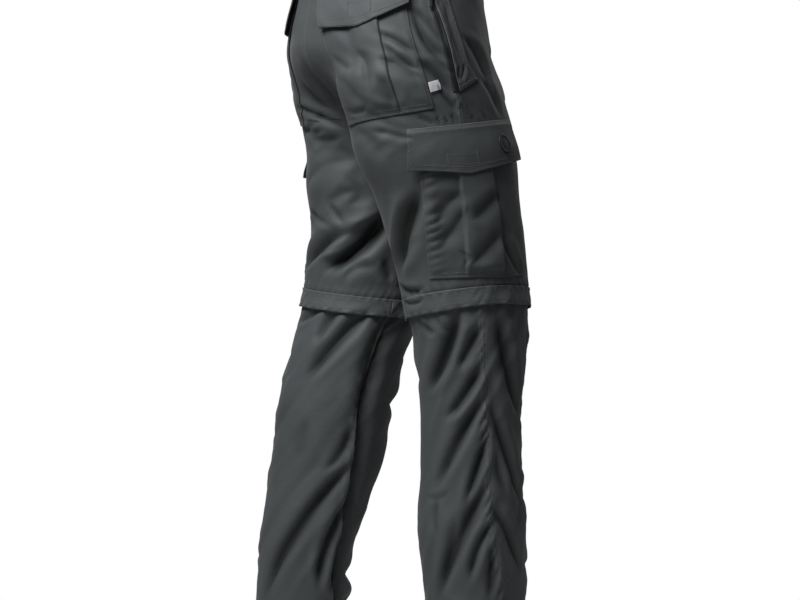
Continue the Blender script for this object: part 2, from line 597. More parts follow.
# %% [markdown]
# From points to cloth. Each piece is a grid of points joined by four-sided faces. Solidify gives
# it a wall, which grows inward under a panel and outward over a piece that lies on one. The UV map
# holds real metres measured along the cloth, so a weave drawn from it follows the creases, and an
# attribute called sewn holds the distance to the nearest sewn edge, for puckers in the finish. A
# second one, trough, holds how far the cloth has sunk below the plain form, in metres.

# %% A sheet of cloth from a grid
def lengths(points):
    """Metres travelled along each row and down each column of a grid."""
    across = np.linalg.norm(np.diff(points, axis=1), axis=-1)
    down = np.linalg.norm(np.diff(points, axis=0), axis=-1)
    u = np.concatenate([np.zeros((len(points), 1)), across.cumsum(1)], 1)
    v = np.concatenate([np.zeros((1, points.shape[1])), down.cumsum(0)], 0)
    return u, v


def mesh_piece(name, points, faces, replaces=()):
    """Points and faces as a smooth-shaded object that rides on the trousers' body."""
    mesh = bpy.data.meshes.new(name)
    mesh.from_pydata(np.asarray(points).tolist(), [], [tuple(f) for f in np.asarray(faces).tolist()])
    mesh.update()
    mesh.shade_smooth()
    item = bpy.data.objects.new(name, mesh)
    bpy.context.scene.collection.objects.link(item)
    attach(item, "trousers")
    if replaces:
        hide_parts(*replaces)
    return item


def shell(name, points, wall, grows, slot, finish, sewn=None, held="laid", rests_on=(), declare=True,
          replaces=(), layer=0.0):
    """A grid of points (rows, columns) as a sheet of cloth with a wall that grows in or out."""
    rows, columns = points.shape[:2]
    index = np.arange(rows * columns).reshape(rows, columns)
    quads = np.stack([index[:-1, :-1], index[:-1, 1:], index[1:, 1:], index[1:, :-1]], -1).reshape(-1, 4)
    flat = points.reshape(-1, 3)
    a, b, c = flat[quads[:, 0]], flat[quads[:, 1]], flat[quads[:, 3]]
    if (np.cross(b - a, c - a) * outward(a)).sum() < 0:
        quads = quads[:, ::-1]
    item = mesh_piece(name, flat, quads, replaces=replaces)
    mesh = item.data
    mesh.materials.append(finish)
    u, v = lengths(points)
    corner = np.empty(len(mesh.loops), np.int32)
    mesh.loops.foreach_get("vertex_index", corner)
    spot = np.stack([u.ravel(), -v.ravel()], -1)[corner]
    mesh.uv_layers.new(name="cloth_metres").data.foreach_set("uv", spot.ravel().astype(np.float32))
    if sewn is None:
        sewn = np.minimum(np.minimum(u, u[:, -1:] - u), np.minimum(v, v[-1:] - v))
    mesh.attributes.new("sewn", "FLOAT", "POINT").data.foreach_set("value", sewn.ravel().astype(np.float32))
    deep = field(flat[:, 0], flat[:, 1], flat[:, 2]) - np.broadcast_to(layer, points.shape[:2]).ravel()
    mesh.attributes.new("trough", "FLOAT", "POINT").data.foreach_set("value", deep.astype(np.float32))
    thick = item.modifiers.new("wall", "SOLIDIFY")
    thick.thickness, thick.offset = wall, -1 if grows == "in" else 1


# %% [markdown]
# Finishes are small webs of nodes. Colours are written as sRGB hex values, as a dye chart gives
# them, and one function turns them to the linear values that light is worked out in. The others
# add a node with its settings and its links. All are used by the finishes below.

# %% Colour and node helpers
def dye(code):
    """sRGB hex to linear: value / 12.92 near black, otherwise ((value + 0.055) / 1.055) ^ 2.4."""
    value = np.array([int(code[i:i + 2], 16) for i in (1, 3, 5)]) / 255
    linear = np.where(value <= 0.04045, value / 12.92, ((value + 0.055) / 1.055) ** 2.4)
    return (*linear.tolist(), 1.0)


def add(finish, kind, inputs=None, **settings):
    """Add a node: settings are its properties, inputs are values or other nodes' outputs."""
    made = finish.node_tree.nodes.new("ShaderNode" + kind)
    for key, value in settings.items():
        setattr(made, key, value)
    for key, value in (inputs or {}).items():
        if isinstance(value, bpy.types.NodeSocket):
            finish.node_tree.links.new(value, made.inputs[key])
        else:
            made.inputs[key].default_value = value
    return made


def ramp(made, stops):
    """Set a colour ramp's stops from (place, colour) rows."""
    elements = made.color_ramp.elements
    while len(elements) < len(stops):
        elements.new(0.5)
    for element, (place, colour) in zip(elements, stops):
        element.position, element.color = place, colour
    return made


def new_finish(name, **shader):
    """An empty material with its shader; constant values go on the shader's own sockets."""
    finish = bpy.data.materials.new(name)
    finish.use_nodes = True
    finish.node_tree.nodes.clear()
    out = add(finish, "OutputMaterial")
    skin = add(finish, "BsdfPrincipled", {key.replace("_", " "): value for key, value in shader.items()})
    finish.node_tree.links.new(skin.outputs["BSDF"], out.inputs["Surface"])
    return finish, skin


def wire(finish, source, target):
    finish.node_tree.links.new(source, target)


def spread(finish, value, low, high, to_low=0.0, to_high=1.0):
    """A value moved from one range to another, and clamped there."""
    return add(finish, "MapRange", {"Value": value, "From Min": low, "From Max": high,
                                    "To Min": to_low, "To Max": to_high}).outputs["Result"]


def bump(finish, height, strength, distance, **under):
    """A relief in the shading; Normal may name another bump's, which it then lies on."""
    inputs = {"Strength": strength, "Distance": distance, "Height": height, **under}
    return add(finish, "Bump", inputs).outputs["Normal"]


print("sRGB #808080 is", round(dye("#808080")[0], 3), "in linear light")

# %% [markdown]
# The cloth is a plain-woven nylon of about 0.35 mm threads, piece-dyed dark grey and calendered,
# which is a pressing between hot rollers that leaves a soft satin gleam along the creases. Threads
# that fine don't show from a few steps away, so the weave is drawn at 0.8 mm. It is woven in metres
# of cloth from the UV map. The tone falls in the troughs, where small creases too fine to model
# hold back the light. Along the two stitched rows of each sewn edge the ramp presses shallow
# grooves, and a finer noise there crumples the cloth between the stitches.

# %% The woven nylon
def woven_nylon(name, colour, second, rough=0.62, weave=0.8 * MM):
    """Colour drifts by two noises; bump = weave + crumple near sewn edges + stitch grooves."""
    finish, skin = new_finish(name, Roughness=rough, IOR=1.53, Specular_IOR_Level=0.28,
                              Sheen_Weight=0.08, Sheen_Roughness=0.40)
    place = add(finish, "UVMap", uv_map="cloth_metres").outputs["UV"]
    wide = add(finish, "TexNoise", {"Vector": place, "Scale": 9.0, "Detail": 3.0})
    streak = add(finish, "Mapping", {"Vector": place, "Scale": (60.0, 700.0, 1.0)})
    thread = add(finish, "TexNoise", {"Vector": streak.outputs["Vector"], "Scale": 1.0, "Detail": 2.0})
    tone = add(finish, "Math", {0: wide.outputs["Fac"], 1: thread.outputs["Fac"]}, operation="ADD")
    level = spread(finish, tone.outputs[0], 0.75, 1.25)
    mixed = add(finish, "Mix", {"Factor": level, 6: dye(colour), 7: dye(second)}, data_type="RGBA")
    sewn = add(finish, "Attribute", attribute_name="sewn").outputs["Fac"]
    grey = [(0.0, 0.62), (0.09, 0.9), (0.125, 0.45), (0.16, 0.95), (0.38, 0.9), (0.59, 0.9), (0.625, 0.45),
            (0.67, 0.78), (0.78, 0.5), (1.0, 0.5)]
    groove = ramp(add(finish, "ValToRGB", {"Fac": spread(finish, sewn, 0.0, 0.012)}),
                  [(s, (g, g, g, 1.0)) for s, g in grey])
    edge = spread(finish, sewn, 0.0, 0.0016, 0.35, 0.0)
    worn = add(finish, "Mix", {"Factor": edge, 6: mixed.outputs[2], 7: dye("#6d7172")}, data_type="RGBA")
    trough = add(finish, "Attribute", attribute_name="trough").outputs["Fac"]
    sunk = spread(finish, trough, -0.0075, 0.0012, 0.30, 1.06)
    shaded = add(finish, "VectorMath", {0: worn.outputs[2], 3: sunk}, operation="SCALE")
    wire(finish, shaded.outputs["Vector"], skin.inputs["Base Color"])
    shine = spread(finish, wide.outputs["Fac"], 0.3, 0.7, rough - 0.05, rough + 0.07)
    wire(finish, shine, skin.inputs["Roughness"])
    drawn = {"Vector": place, "Scale": 2 * math.pi / (20 * weave)}
    warp = add(finish, "TexWave", drawn, bands_direction="X")
    weft = add(finish, "TexWave", drawn, bands_direction="Y")
    woven = add(finish, "Math", {0: warp.outputs["Fac"], 1: weft.outputs["Fac"]}, operation="MULTIPLY")
    crumple = add(finish, "TexNoise", {"Vector": place, "Scale": 1 / (7 * MM), "Detail": 3.0})
    tight = spread(finish, sewn, 0.002, 0.013, 1.0, 0.0)
    fine = add(finish, "TexNoise", {"Vector": place, "Scale": 1 / (4.2 * MM), "Detail": 2.0})
    pinch = add(finish, "Math", {0: fine.outputs["Fac"], 1: tight}, operation="MULTIPLY")
    normal = bump(finish, woven.outputs[0], 0.25, 0.08 * MM)
    normal = bump(finish, crumple.outputs["Fac"], 0.35, 0.35 * MM, Normal=normal)
    normal = bump(finish, pinch.outputs[0], 0.7, 1.1 * MM, Normal=normal)
    normal = bump(finish, groove.outputs["Color"], 0.8, 0.8 * MM, Normal=normal)
    wire(finish, normal, skin.inputs["Normal"])
    return finish


nylon = woven_nylon("woven_nylon", "#4a4e4f", "#505456")
band_nylon = woven_nylon("woven_nylon_waistband", "#484b4d", "#4e5154", rough=0.64)
print("the cloth's weave repeats every 0.8 mm, as drawn by", len(nylon.node_tree.nodes), "nodes")

# %% [markdown]
# The small parts' finishes. Sewing thread is spun polyester, a greyer and lighter tone than the
# cloth, so its rows show. Zip tape is close-woven polyester and its coil is moulded nylon. The
# slider and its pull are die-cast zinc, plated with nickel and tumbled, so the metal is soft in
# its gleam and scratched at its corners. The button and the badge are moulded: one in hard
# polyester, one in soft rubber. The label is a satin ribbon, woven so tight that it looks smooth.

# %% Finishes of the small parts
def plain_finish(name, colour, second, grain, depth, **shader):
    """Two tones mixed by one noise with this grain in metres, and a bump of this depth."""
    finish, skin = new_finish(name, **shader)
    place = add(finish, "TexCoord").outputs["Object"]
    cloud = add(finish, "TexNoise", {"Vector": place, "Scale": 1 / grain, "Detail": 3.0})
    level = spread(finish, cloud.outputs["Fac"], 0.35, 0.65)
    mixed = add(finish, "Mix", {"Factor": level, 6: dye(colour), 7: dye(second)}, data_type="RGBA")
    wire(finish, mixed.outputs[2], skin.inputs["Base Color"])
    wire(finish, bump(finish, cloud.outputs["Fac"], 0.5, depth), skin.inputs["Normal"])
    return finish


thread = plain_finish("spun_polyester_thread", "#555450", "#67655e", 0.8 * MM, 0.1 * MM,
                      Roughness=0.62, IOR=1.55)
tape = plain_finish("woven_zip_tape", "#242627", "#2d2f31", 0.7 * MM, 0.12 * MM, Roughness=0.72, IOR=1.55)
coil = plain_finish("moulded_zip_coil", "#303335", "#3a3d3f", 0.5 * MM, 0.03 * MM, Roughness=0.38, IOR=1.53)
nickel = plain_finish("tumbled_nickel", "#a9a9a6", "#8b8b8a", 0.9 * MM, 0.03 * MM, Metallic=1.0, Roughness=0.32)
horn = plain_finish("moulded_button", "#26282a", "#303234", 1.2 * MM, 0.02 * MM, Roughness=0.42, IOR=1.54)
rubber = plain_finish("soft_rubber_badge", "#1b1c1e", "#232527", 0.9 * MM, 0.04 * MM, Roughness=0.55, IOR=1.5)
satin = plain_finish("woven_satin_label", "#dcdae4", "#eae8f0", 0.6 * MM, 0.06 * MM, Roughness=0.45, IOR=1.5,
                     Sheen_Weight=0.2)
print("finishes:", [m.name for m in bpy.data.materials if m.use_nodes][-9:])

# %% [markdown]
# The panels. A trouser leg is cut as a front and a back, and here each is cut again at the zip, so
# there are eight. Each row of the grid runs from the outer seam to the middle, or to the inner seam
# below the crotch. Columns crowd beside the seams, where the cloth is doubled into a felled seam:
# a strip 8 mm wide that stands half a millimetre proud on the back panel.

# %% Rows and columns of the panels
def crowded(width, count):
    """Fractions 0 to 1: close steps in the 22 mm beside each end, even ones between."""
    close = np.array([0, 0.5, 1.5, 3, 4.5, 6, 7.4, 8.4, 10, 12.5, 15.5, 18.5, 22]) * MM / width
    return np.concatenate([close, np.linspace(close[-1], 1 - close[-1], count)[1:-1], 1 - close[::-1]])


def panel_places(side, front, levels, fractions):
    """Turn and height of every point: outer seam + fraction x (inner end - outer seam)."""
    outer = seam_turn(OUTSEAM, side, levels)
    outer = seam_turn(OUTSEAM, side, levels + droop(side, outer, levels))
    height = levels
    for _ in range(3):
        middle = turn_of(side, 0.0, middle_y(height, front), height)
        height = levels + droop(side, middle, levels)
    middle = middle if front else np.where(middle > 0, middle - 360, middle)
    ease = smooth_step((CROTCH - levels) / 0.03)
    start = float(turn_of(side, 0.0, CROTCH_Y, CROTCH)) % 360
    inseam = start + ease * (seam_turn(INSEAM, side, levels) - start) - (0 if front else 360)
    inner = np.where(levels >= CROTCH, middle, inseam)
    turn = outer[:, None] + (inner - outer)[:, None] * fractions
    return turn, levels[:, None] + droop(side, turn, levels[:, None])


def felled(u, width=8 * MM, height=0.5 * MM):
    """Rises over half a millimetre at the seam, level for 8 mm, and falls again."""
    return height * smooth_step((u - 0.2 * MM) / (0.5 * MM)) * smooth_step((width - u) / (0.9 * MM))


def panel(name, side, front, levels, count, waist):
    """One cut panel: the skin's points with relief, and the felled strips on a back panel."""
    turn, z = panel_places(side, front, levels, crowded(0.24, count))
    points = cloth(side, turn, z)
    u, _ = lengths(points)
    back = u[:, -1:] - u
    proud = 0.0 if front else felled(u) + felled(back) * (side == "right")
    points = points + outward(points) * np.broadcast_to(proud, u.shape)[..., None]
    shell(name, points, CLOTH, "in", "cloth", nylon, sewn=np.minimum(u, back),
          held="gathered" if waist else "hung",
          rests_on=["cloth_waistband"] if waist else [name.replace("lower_", "")],
          replaces=[name.replace("cloth_", "")])


# %% Cut the eight panels
UPPER = np.concatenate([np.linspace(-0.0385, CROTCH, 72), np.linspace(CROTCH, ZIP_LINE, 74)[1:]])
LOWER = np.linspace(ZIP_LINE, HEM, 150)
for side in ("right", "left"):
    for face in ("front", "back"):
        panel(f"cloth_{face}_{side}", side, face == "front", UPPER, 68, True)
        panel(f"cloth_lower_{face}_{side}", side, face == "front", LOWER, 50, False)

# %% [markdown]
# Pockets and flaps lie on the panels, so each is a four-sided patch of the same skin, moved out.
# Its outline is a ladder: every rung gives a turn and a height at its back end and at its front
# end. Two fractions, u across and v down, then name any place on it, for the cloth and for the
# stitches alike. A lift raises it where it bulges, and a drop lowers its hem into a point.

# %% A patch on the panels
Rung = namedtuple("Rung", "back_turn back_z front_turn front_z")
Patch = namedtuple("Patch", "side rungs wall lift drop")


def flat_lift(u, v):
    return 0.0 * u


def patch_spot(patch, u, v):
    """Turn, height and layer at (u, v): straight lines between the rungs' ends, plus lift and drop."""
    u, v = np.broadcast_arrays(np.asarray(u, float), np.asarray(v, float))
    row = v * (len(patch.rungs) - 1)
    i = np.clip(row.astype(int), 0, len(patch.rungs) - 2)
    s = (row - i)[..., None]
    rungs = np.array(patch.rungs, float)
    mixed = rungs[i] * (1 - s) + rungs[i + 1] * s
    turn = mixed[..., 0] * (1 - u) + mixed[..., 2] * u
    z = mixed[..., 1] * (1 - u) + mixed[..., 3] * u
    return turn, z - patch.drop(u, v), LAY + patch.lift(u, v)


def patch_points(patch, u, v, above=0.0):
    turn, z, layer = patch_spot(patch, u, v)
    return cloth(patch.side, turn, z, layer + above)


def make_patch(name, patch, across, down, slot="cloth", finish=nylon, **words):
    """A patch as a sheet of cloth; its trough is measured from the layer that it lies in."""
    u, v = np.meshgrid(across, down)
    shell(name, patch_points(patch, u, v), patch.wall, "out", slot, finish,
          replaces=[name.replace("cloth_", "")], layer=patch_spot(patch, u, v)[2], **words)


def shifted(rungs, turn, z=0.0, lean=0.0):
    """The same rungs moved round and up, and the lower ones further round by the lean."""
    turns = [turn + lean * i / (len(rungs) - 1) for i in range(len(rungs))]
    return [Rung(r.back_turn + t, r.back_z + z, r.front_turn + t, r.front_z + z)
            for r, t in zip(rungs, turns)]


def pleat(left, right, height, mouth, sharp=0.03, soft=0.13, ruffle=0.0):
    """A box pleat between two fractions, pressed sharply at right; a ruffle puckers its back edge."""
    def lift(u, v):
        rise = smooth_step((u - left + 0.7 * soft) / soft) * smooth_step((right - u) / sharp + 0.5)
        ends = smooth_step((1.0 - v) / 0.10) * (0.1 + 0.9 * smooth_step(v / mouth))
        edge = smooth_step(u / 0.07) * smooth_step((1 - u) / 0.07) * ends
        base = 0.0005 * smooth_step(v / 0.2) * smooth_step((1 - v) / 0.1)
        waves = 0.5 + 0.5 * wave(0.2 * v + 0.05 * u, 0.0135, 51)
        gather = ruffle * np.exp(-((u - 0.07) / 0.06) ** 2) * waves * ends
        return height * rise * ends + 0.0015 * edge + base + gather
    return lift


def point_at(centre, depth):
    """The shallow point of a flap's lower edge: a tent over u, growing with v squared."""
    def drop(u, v):
        return depth * np.where(u < centre, u / centre, (1 - u) / (1 - centre)) * v * v
    return drop


def no_drop(u, v):
    return 0.0 * u


def flap_lift(u, v):
    """A flap starts on the panel and rides over the pocket's mouth and its pleat."""
    return 0.0030 * smooth_step(v / 0.15) + 0.0052 * smooth_step((v - 0.05) / 0.80)


# %% [markdown]
# The seat pockets and the cargo pockets each have a box pleat down the middle, so that they can
# swell, and a pointed flap with a hook-and-loop patch under it. The pleat's front fold is pressed
# and throws a thin shadow. Of the left pair only edges show, so it repeats the right one, with
# the seat pocket a little further out and higher, as its edge in the photo asks.

# %% Pocket and flap outlines
BACK_POCKET = [
    Rung(-113.5, -0.073, -46, -0.073),
    Rung(-112.5, -0.094, -43, -0.102),
    Rung(-107.5, -0.140, -38, -0.138),
    Rung(-103.5, -0.182, -30, -0.180),
    Rung(-101, -0.225, -26, -0.215),
    Rung(-98.5, -0.272, -25, -0.250),
]
BACK_FLAP = [
    Rung(-117.5, -0.058, -44, -0.056),
    Rung(-115, -0.082, -41, -0.082),
    Rung(-107, -0.137, -40, -0.108),
]
CARGO_POCKET = [
    Rung(-43, -0.298, 54, -0.284),
    Rung(-49, -0.336, 53, -0.322),
    Rung(-53, -0.388, 50, -0.374),
    Rung(-58, -0.442, 46, -0.430),
    Rung(-61, -0.4815, 43, -0.4775),
]
CARGO_FLAP = [
    Rung(-50, -0.279, 60, -0.2595),
    Rung(-52, -0.305, 60, -0.288),
    Rung(-56, -0.333, 60, -0.3165),
]
# How far the seat pocket is turned, raised and leant, and how far the cargo pocket is turned.
MOVED = {"right": (0.0, 0.0, 0.0, 0.0), "left": (8.0, 0.010, 8.0, 3.0)}


def steps(*close):
    """Even fractions with more of them round each place that is named."""
    near = [np.linspace(c - 0.022, c + 0.022, 9) for c in close]
    return np.unique(np.clip(np.concatenate([np.linspace(0, 1, 74), *near]), 0, 1).round(5))


# %% Make the pockets and flaps
patches = {}
for side in ("right", "left"):
    turn, up, lean, cargo_turn = MOVED[side]
    patches["back_pocket_" + side] = Patch(side, shifted(BACK_POCKET, turn, up, lean), CLOTH,
                                           pleat(0.36, 0.635, 0.0042, 0.40, sharp=0.022), no_drop)
    patches["back_flap_" + side] = Patch(side, shifted(BACK_FLAP, turn, up * 0.4), CLOTH, flap_lift,
                                         point_at(0.42, 0.014))
    patches["cargo_pocket_" + side] = Patch(side, shifted(CARGO_POCKET, cargo_turn), CLOTH,
                                            pleat(0.33, 0.67, 0.0045, 0.30, sharp=0.03, soft=0.03,
                                                  ruffle=0.0034), no_drop)
    patches["cargo_flap_" + side] = Patch(side, shifted(CARGO_FLAP, cargo_turn), CLOTH, flap_lift,
                                          point_at(0.42, 0.013))
for name, patch in patches.items():
    if "pocket" in name:
        across = steps(0.012, 0.988, 0.63) if "back" in name else steps(0.012, 0.988, 0.33, 0.67)
        down = steps(0.012, 0.988)
    else:
        across, down = steps(0.012, 0.988, 0.42), np.linspace(0, 1, 46)
    make_patch("cloth_" + name, patch, across, down, rests_on=["cloth_back_" + patch.side])

# %% [markdown]
# Covers over the zips. Each leg comes off at a zip hidden under a band that is sewn to the upper
# leg, about 25 mm deep, and the band's lower edge stands off the leg and throws a dark line. The
# band is a ribbon round the leg, from the inner seam right round to it again, and it sags with
# the zip line. The lower edge wanders a little, as a loose edge does.

# %% The zip bands
for side in ("right", "left"):
    turn = (float(seam_turn(INSEAM, side, BAND_TOP)) - 360 * np.linspace(1, 0, 300))[None]
    v = np.linspace(0, 1, 14)[:, None]
    level = BAND_TOP + (BAND_BOTTOM - BAND_TOP) * v
    angle = np.radians(turn)
    swing = smooth_noise(0.09 * np.stack([np.cos(angle), np.sin(angle), 0 * turn], -1), 0.045, 17)
    z = level + droop(side, turn, level) + 0.0012 * swing * v
    lift = LAY + 0.0024 * smooth_step(v / 0.75) + 0.0010 * v * (1 + swing) / 2
    shell(f"cloth_zip_band_{side}", cloth(side, turn + 0 * v, z, lift + 0 * turn), 1.1 * MM, "out", "cloth",
          nylon, replaces=["zip_band_" + side], rests_on=["cloth_front_" + side])

# %% [markdown]
# The waistband is one folded strip with stiffening inside, which stands a little proud of the
# panels and dips in front. The photo cuts it off, so it stays plain. The fly is a lap of cloth
# on the left front that covers the front zip, with its lower end rounded toward the crotch.

# %% The waistband and the fly lap
def ring_turns(side, count):
    """Turns from the middle front to the middle back of one side, at the waist."""
    x = SIGN[side] * 0.15 * MM
    first = float(turn_of(side, x, middle_y(-0.02, True, x), -0.02))
    last = float(turn_of(side, x, middle_y(-0.02, False, x), -0.02))
    return np.linspace(first, last - 360 if last > 0 else last, count)


halves = []
for side in ("right", "left"):
    turn, level = ring_turns(side, 150)[None], np.linspace(0.0, -0.040, 16)[:, None]
    z = level + droop(side, turn, level)
    roll = 0.0006 * smooth_step(-level / 0.004) * smooth_step((level + 0.040) / 0.004)
    half = cloth(side, turn + 0 * z, z, 0.0004 + roll + 0 * z)
    half[:, 0, 0] = SIGN[side] * 0.15 * MM
    half[:, -1, 0] = 0.0
    halves.append(half)
ring = np.concatenate([halves[0], halves[1][:, ::-1][:, 1:]], 1)
shell("cloth_waistband", ring, 2.4 * MM, "in", "waistband_cloth", band_nylon, held="gathered",
      replaces=["waistband"], rests_on=["cloth_back_right", "cloth_back_left"])


def fly_places(x, level):
    """Turn and height on the left front at a distance x from the middle."""
    height = level
    for _ in range(3):
        turn = turn_of("left", x, middle_y(height, True, x), height)
        height = level + droop("left", turn, level)
    return turn, height


FLY_WIDTH, FLY_TOP, FLY_BOTTOM = 0.036, -0.043, -0.215


def fly_reach(level):
    """The lap's width, on an ellipse toward its lower end."""
    fall = np.clip((level + 0.165) / (FLY_BOTTOM + 0.165), 0, 1)
    return FLY_WIDTH * np.sqrt(1 - 0.72 * fall * fall)


level = np.linspace(FLY_TOP, FLY_BOTTOM, 64)[:, None]
x = 0.004 + fly_reach(level) * np.linspace(0, 1, 26)
turn, z = fly_places(x, level + 0 * x)
shell("cloth_fly_lap", cloth("left", turn, z, LAY + 0.0005 + 0 * z), CLOTH, "out", "cloth", nylon,
      replaces=["fly_lap"], rests_on=["cloth_front_left"])

# %% [markdown]
# The hand pockets slant along the side seam. A welt, a doubled strip sewn down at both ends,
# makes the front lip, and behind it lies a zip: a tape with a coil of moulded teeth along its
# middle. The coil is two rows of small hooks that mesh, so each is a short bar, and the two rows
# are set half a pitch apart. There are only a few faces in a bar, for there are hundreds.

# %% Welts and zip tapes
WELT = [
    Rung(-19.5, -0.062, -2, -0.060),
    Rung(-12, -0.108, 6, -0.104),
    Rung(-2, -0.150, 14, -0.145),
    Rung(4, -0.190, 21, -0.186),
    Rung(5.5, -0.226, 29, -0.208),
]
TAPE_WIDTH = 7.0        # degrees
for side in ("right", "left"):
    rungs = shifted(WELT, 0 if side == "right" else 2)
    lip = lambda u, v: (0.0012 * smooth_step((0.25 - u) / 0.25)
                        * smooth_step(v / 0.1) * smooth_step((1 - v) / 0.1))
    welt = patches["hand_welt_" + side] = Patch(side, rungs, 1.1 * MM, lip, no_drop)
    make_patch("cloth_hand_welt_" + side, welt, np.linspace(0, 1, 26), np.linspace(0, 1, 90),
               rests_on=["cloth_front_" + side])
    strip = [Rung(r.back_turn - TAPE_WIDTH, r.back_z - 0.001, r.back_turn - 0.35, r.back_z) for r in rungs]
    patches["pocket_zip_" + side] = Patch(side, strip, 0.7 * MM, flat_lift, no_drop)

# %% Small solids repeated along a line
def framed(points):
    """Forward = slope of the line, out = slope of the field, side = out x forward."""
    ahead = np.gradient(points, axis=0)
    ahead /= np.linalg.norm(ahead, axis=-1, keepdims=True)
    out = outward(points)
    beside = np.cross(out, ahead)
    beside /= np.linalg.norm(beside, axis=-1, keepdims=True)
    return ahead, np.cross(ahead, beside), beside


def spaced(points, pitch, start=0.5):
    """Points and frames at even steps of arc length along a line."""
    travelled = np.concatenate([[0], np.linalg.norm(np.diff(points, axis=0), axis=1).cumsum()])
    at = np.arange(start * pitch, travelled[-1], pitch)
    ahead, out, beside = framed(points)
    read_at = lambda values: np.stack([np.interp(at, travelled, values[:, k]) for k in range(3)], -1)
    return read_at(points), read_at(ahead), read_at(out), read_at(beside)


def repeated(places, shape, faces):
    """One small shape (length, height, width) set at each place, joined into one mesh."""
    here, ahead, out, beside = places
    points = (here[:, None] + ahead[:, None] * shape[None, :, 0:1] + out[:, None] * shape[None, :, 1:2]
              + beside[:, None] * shape[None, :, 2:3])
    offset = np.arange(len(here))[:, None, None] * len(shape)
    return points.reshape(-1, 3), (faces[None] + offset).reshape(-1, faces.shape[1])


BAR = np.array([[a, b, c] for a in (-0.5, 0.5) for b in (0.0, 1.0) for c in (-0.5, 0.5)])
BAR_FACES = np.array([[0, 2, 3, 1], [4, 5, 7, 6], [0, 1, 5, 4], [2, 6, 7, 3], [0, 4, 6, 2], [1, 3, 7, 5]])


def joined(name, parts, finish):
    """Several point-and-face lists as one object."""
    points = np.concatenate([p for p, _ in parts])
    counts = np.cumsum([0] + [len(p) for p, _ in parts[:-1]])
    faces = np.concatenate([f + c for (_, f), c in zip(parts, counts)])
    item = mesh_piece(name, points, faces)
    item.data.shade_flat()
    item.data.materials.append(finish)
    return item


# %% Zip tapes with their coils
for side in ("right", "left"):
    patch = patches["pocket_zip_" + side]
    make_patch("cloth_pocket_zip_" + side, patch, np.linspace(0, 1, 12), np.linspace(0, 1, 90),
               slot="zip_tape", finish=tape, declare=False)      # under the 10 mm that a declared sheet needs
    parts = []
    for u, start in ((0.40, 0.25), (0.60, 0.75)):
        line = patch_points(patch, np.full(200, u), np.linspace(0.015, 0.985, 200), 0.7 * MM)
        tooth = BAR * np.array([0.8, 0.55, 2.6]) * MM
        parts.append(repeated(spaced(line, 1.5 * MM, start), tooth, BAR_FACES))
    teeth = joined("zip_teeth_" + side, parts, coil)
    print(teeth.name, len(teeth.data.polygons) // 6, "teeth")

# %% [markdown]
# Stitches. Every edge on the trousers is held by rows of thread, two rows 6 mm apart on the
# seams and pocket edges. A bump could hint at them, but real ones catch the light, so each is a
# small capsule lying on the cloth, two rings between two points. They are worked out as arrays,
# one line of thread after the other, about eight stitches to the inch.

# %% One stitch and a row of them
STITCH_PITCH, STITCH_LENGTH, STITCH_WIDTH = 3.3 * MM, 2.5 * MM, 0.85 * MM


def capsule(sides=5):
    """A point, two rings and a point along x: (length, height, width)."""
    angle = np.linspace(0, 2 * math.pi, sides + 1)[:-1]
    rings = [[[-0.5, 0.0, 0.0]]]
    for x in (-0.32, 0.32):
        rings.append(np.stack([np.full(sides, x), 0.5 * np.sin(angle), 0.5 * np.cos(angle)], -1).tolist())
    rings.append([[0.5, 0.0, 0.0]])
    points = np.array([p for r in rings for p in r])
    i, j = np.arange(sides), (np.arange(sides) + 1) % sides
    last = 2 * sides + 1
    near, near_next, far, far_next = 1 + i, 1 + j, 1 + sides + i, 1 + sides + j
    triangles = ((0 * i, near_next, near), (0 * i + last, far, far_next),
                 (near, near_next, far_next), (near, far_next, far))
    return points, np.concatenate([np.stack(t, -1) for t in triangles])


CAPSULE, CAPSULE_FACES = capsule()
stitched = {"panels": [], "pockets": [], "trims": []}


def sew(group, points, pitch=STITCH_PITCH, length=STITCH_LENGTH, width=STITCH_WIDTH):
    """A row of stitches along a line of points that lies on the cloth."""
    shape = CAPSULE * np.array([length, 0.55 * width, width])
    stitched[group].append(repeated(spaced(points, pitch), shape, CAPSULE_FACES))


def sew_panel(side, turn, z, lift):
    """A row on the panels themselves, given by turns and heights."""
    sew("panels", cloth(side, turn, z, lift + 0 * z))


# %% [markdown]
# Rows along the panels' seams: the outer seams and the right side of the middle back are felled,
# which shows as two rows 1.5 mm and 7 mm from the seam, and the inner seams carry one row. A
# single row runs round each hem, and one runs along the top of each zip band.

# %% Stitch the panels
ON_FELL, ON_CLOTH = 0.0005 + 0.00015, 0.00015
for side in ("right", "left"):
    for z in (np.linspace(-0.042, ZIP_LINE + 0.017, 420), np.linspace(BAND_BOTTOM - 0.004, HEM + 0.003, 460)):
        turn = seam_turn(OUTSEAM, side, z)
        for away in (0.0015, 0.0070):
            sew_panel(side, turn - away / ARC, z + droop(side, turn, z), ON_FELL)
        inner = z[z < CROTCH - 0.012]
        turn = seam_turn(INSEAM, side, inner)
        sew_panel(side, turn + 0.0018 / ARC, inner + droop(side, turn, inner),
                  ON_FELL if side == "right" else ON_CLOTH)
    turn = np.linspace(-178, 180, 700)
    sew_panel(side, turn, HEM + 0.020 + 0 * turn, ON_CLOTH)
    level = BAND_TOP - 0.0030 + 0 * turn
    sew_panel(side, turn, level + droop(side, turn, level), 0.0017)
z = np.linspace(-0.044, CROTCH + 0.01, 260)
for away, front, lift in ((0.0017, False, ON_FELL), (0.0017, True, ON_CLOTH), (0.0072, False, ON_FELL)):
    turn = turn_of("right", -away, middle_y(z, front, -away), z)
    sew_panel("right", turn, z + droop("right", turn, z), lift)
print(sum(len(f) // 20 for _, f in stitched["panels"]), "stitches on the panels")

